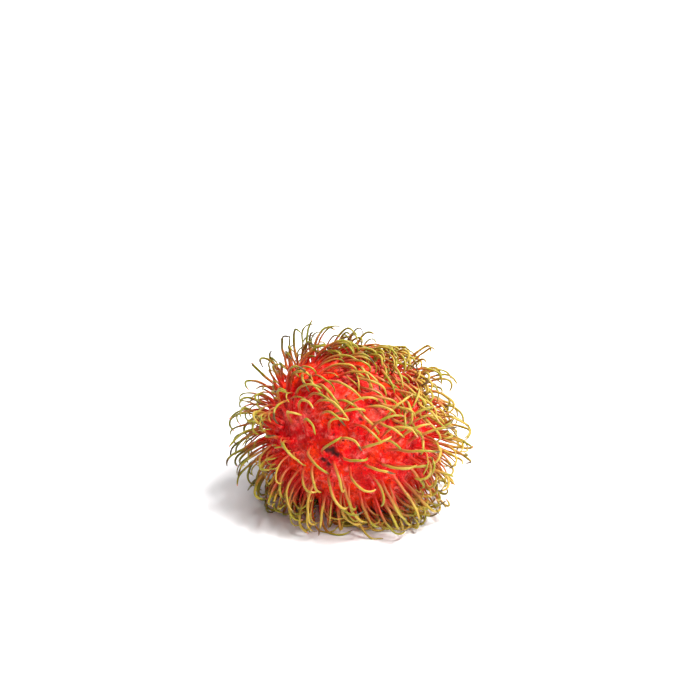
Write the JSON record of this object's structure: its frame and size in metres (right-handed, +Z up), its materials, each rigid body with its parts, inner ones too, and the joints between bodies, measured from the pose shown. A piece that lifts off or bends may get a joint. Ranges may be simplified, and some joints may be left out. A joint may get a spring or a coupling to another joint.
{
  "type": "rambutan",
  "caption": "Whole rambutan with an oval red leathery rind covered in soft curved green-tipped spines, with a short cut stalk, lying on its side.",
  "frame": {"origin": "centre of the small flat spot that the fruit rests on", "axes": "+Z up, +X from the stalk to the fruit's tip, +Y across the fruit"},
  "size_m": [0.0637, 0.0616, 0.043],
  "materials": {
    "rind": "leathery, slightly glossy, crimson to orange-red, with yellow-green spine ends",
    "stalk": "dry, matt, brown, with a pale cut end"
  },
  "bodies": {
    "root": {"fruit": "rind", "stalk": "stalk"}
  },
  "joints": []
}
